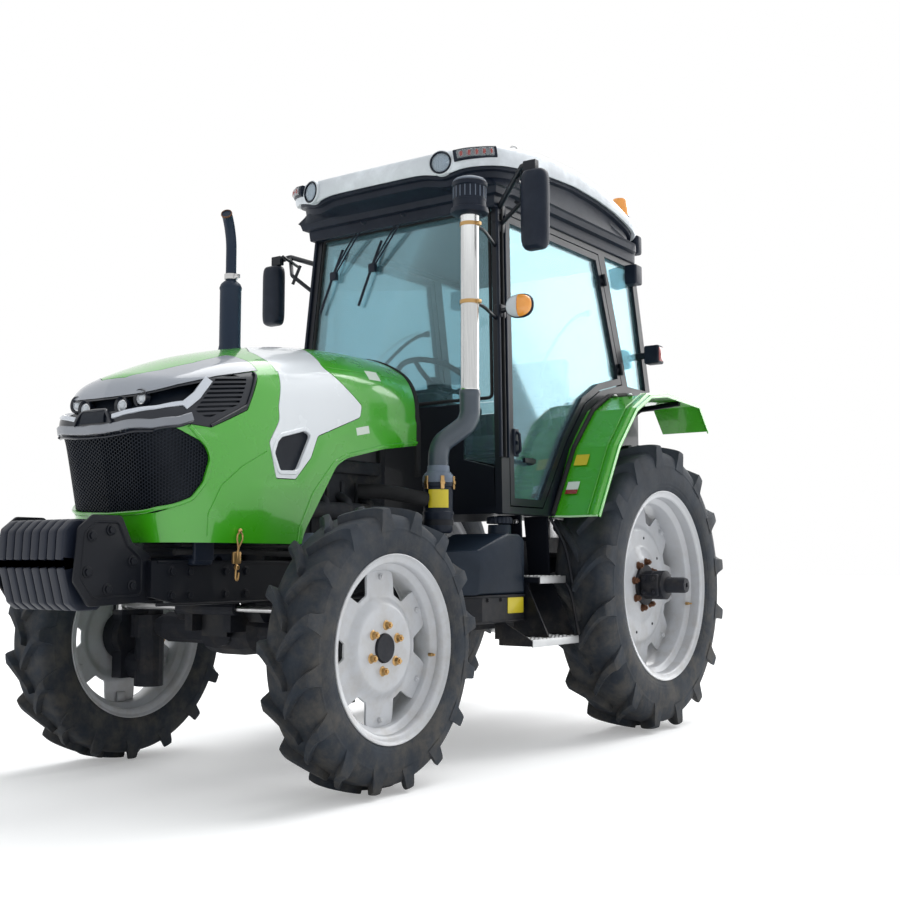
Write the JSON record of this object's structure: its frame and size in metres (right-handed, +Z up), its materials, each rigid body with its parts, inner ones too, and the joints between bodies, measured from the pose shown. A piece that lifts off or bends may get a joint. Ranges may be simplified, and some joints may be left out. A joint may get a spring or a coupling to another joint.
{
  "type": "farm tractor with cab",
  "caption": "Farm tractor with a closed cab, tilting bonnet, steered driven front wheels, large rear wheels, front weights and a rear three-point linkage.",
  "frame": {"origin": "on the ground, at the middle of the whole length and width", "axes": "+X to the tractor's left, +Y to the rear, +Z up; the front faces -Y"},
  "size_m": [1.9, 3.9512, 2.6888],
  "materials": {
    "body_green": "gloss green paint",
    "panel_white": "gloss white moulding",
    "band_grey": "gloss dark grey moulding with clear lamp covers",
    "grille_black": "black mesh and louvres",
    "cab_black": "satin black paint",
    "cab_glass": "tinted toughened glass",
    "roof_grey": "light grey moulded roof",
    "cab_plastic": "black moulded plastic",
    "tank_plastic": "slate black moulded plastic",
    "lamp_plastic": "clear, amber and red lenses in black housings",
    "chassis_black": "satin black chassis paint",
    "cast_black": "black painted castings",
    "engine_iron": "painted engine castings",
    "radiator": "black finned core",
    "exhaust_black": "heat-proof black paint",
    "polished_steel": "polished steel pipe with black ends",
    "bright_steel": "ground steel",
    "linkage_steel": "black painted forgings",
    "rim_silver": "silver paint",
    "tyre_rubber": "dusty black rubber",
    "soft_rubber": "black grip",
    "seat_fabric": "dark seat fabric"
  },
  "bodies": {
    "chassis": {"engine_block": "engine_iron", "radiator": "radiator", "gearbox": "cast_black", "rear_axle_housing": "cast_black", "front_frame": "chassis_black", "front_axle": "cast_black", "front_weights": "cast_black", "cab_frame": "cab_black", "cab_glass": "cab_glass", "roof": "roof_grey", "fenders": "body_green", "fuel_tank": "tank_plastic", "tank_tray": "chassis_black", "battery_box": "tank_plastic", "steps": "chassis_black", "air_intake": "polished_steel", "air_cleaner": "cab_plastic", "mirrors": "cab_plastic", "lamps": "lamp_plastic", "seat_base": "cab_plastic", "seat_pads": "seat_fabric", "dash": "cab_plastic", "drawbar": "chassis_black", "top_link": "linkage_steel"},
    "bonnet": {"bonnet": "body_green", "bonnet_side_panels": "panel_white", "lamp_band": "band_grey", "grille": "grille_black", "exhaust": "exhaust_black"},
    "door_left": {"door_frame_left": "cab_black", "door_glass_left": "cab_glass"},
    "door_right": {"door_frame_right": "cab_black", "door_glass_right": "cab_glass"},
    "knuckle_left": {"knuckle_left": "cast_black"},
    "knuckle_right": {"knuckle_right": "cast_black"},
    "front_wheel_left": {"front_rim_left": "rim_silver", "front_tyre_left": "tyre_rubber"},
    "front_wheel_right": {"front_rim_right": "rim_silver", "front_tyre_right": "tyre_rubber"},
    "rear_wheel_left": {"rear_rim_left": "rim_silver", "rear_tyre_left": "tyre_rubber", "rear_hub_left": "cast_black"},
    "rear_wheel_right": {"rear_rim_right": "rim_silver", "rear_tyre_right": "tyre_rubber", "rear_hub_right": "cast_black"},
    "steering_rod": {"steering_rod": "bright_steel"},
    "steering_wheel": {"steering_wheel": "soft_rubber"},
    "lower_links": {"lower_links": "linkage_steel"},
    "lift_arms": {"lift_arms": "linkage_steel"},
    "lift_rods": {"lift_rods": "linkage_steel"}
  },
  "joints": [
    {"name": "steer_left", "type": "hinge", "parent": "chassis", "child": "knuckle_left", "pos_m": [0.5, -1.026, 0.54], "axis": [0, 0, 1], "range_deg": [-36, 36]},
    {"name": "steer_right", "type": "hinge", "parent": "chassis", "child": "knuckle_right", "pos_m": [-0.5, -1.026, 0.54], "axis": [0, 0, 1], "range_deg": [-36, 36]},
    {"name": "front_wheel_left_roll", "type": "hinge", "parent": "knuckle_left", "child": "front_wheel_left", "pos_m": [0.661, -1.026, 0.4975], "axis": [1, 0, 0], "continuous": true},
    {"name": "front_wheel_right_roll", "type": "hinge", "parent": "knuckle_right", "child": "front_wheel_right", "pos_m": [-0.661, -1.026, 0.4975], "axis": [1, 0, 0], "continuous": true},
    {"name": "rear_wheel_left_roll", "type": "hinge", "parent": "chassis", "child": "rear_wheel_left", "pos_m": [0.704, 1.014, 0.685], "axis": [1, 0, 0], "continuous": true},
    {"name": "rear_wheel_right_roll", "type": "hinge", "parent": "chassis", "child": "rear_wheel_right", "pos_m": [-0.704, 1.014, 0.685], "axis": [1, 0, 0], "continuous": true},
    {"name": "steering_rod_slide", "type": "slide", "parent": "chassis", "child": "steering_rod", "axis": [1, 0, 0], "range_m": [-0.105, 0.105]},
    {"name": "steering_wheel_turn", "type": "hinge", "parent": "chassis", "child": "steering_wheel", "pos_m": [0, 0.264, 1.64], "axis": [0, 0.5, 0.866], "range_deg": [-370, 370]},
    {"name": "bonnet_lid", "type": "hinge", "parent": "chassis", "child": "bonnet", "pos_m": [0, -0.358, 1.555], "axis": [-1, 0, 0], "range_deg": [0, 35]},
    {"name": "door_left_swing", "type": "hinge", "parent": "chassis", "child": "door_left", "pos_m": [0.57224, 1.111, 1.69], "axis": [-0.0556, -0.2601, 0.964], "range_deg": [0, 72]},
    {"name": "door_right_swing", "type": "hinge", "parent": "chassis", "child": "door_right", "pos_m": [-0.57224, 1.111, 1.69], "axis": [0.0556, -0.2601, 0.964], "range_deg": [-72, 0]},
    {"name": "lower_links_lift", "type": "hinge", "parent": "chassis", "child": "lower_links", "pos_m": [0, 1.174, 0.455], "axis": [1, 0, 0], "range_deg": [-14, 26]},
    {"name": "lift_arms_turn", "type": "hinge", "parent": "chassis", "child": "lift_arms", "pos_m": [0, 1.214, 0.905], "axis": [1, 0, 0], "range_deg": [-23.5, 43.5]},
    {"name": "lift_rods_turn", "type": "hinge", "parent": "lift_arms", "child": "lift_rods", "pos_m": [0, 1.454, 0.905], "axis": [1, 0, 0], "range_deg": [-43.5, 23.5]}
  ],
  "couplings": [
    {"joint": "steer_right", "follows": "steer_left", "ratio": 1},
    {"joint": "steering_rod_slide", "follows": "steer_left", "m_per_rad": 0.165},
    {"joint": "steering_wheel_turn", "follows": "steer_left", "ratio": 10},
    {"joint": "lift_arms_turn", "follows": "lower_links_lift", "ratio": 1.667},
    {"joint": "lift_rods_turn", "follows": "lower_links_lift", "ratio": -1.667}
  ]
}
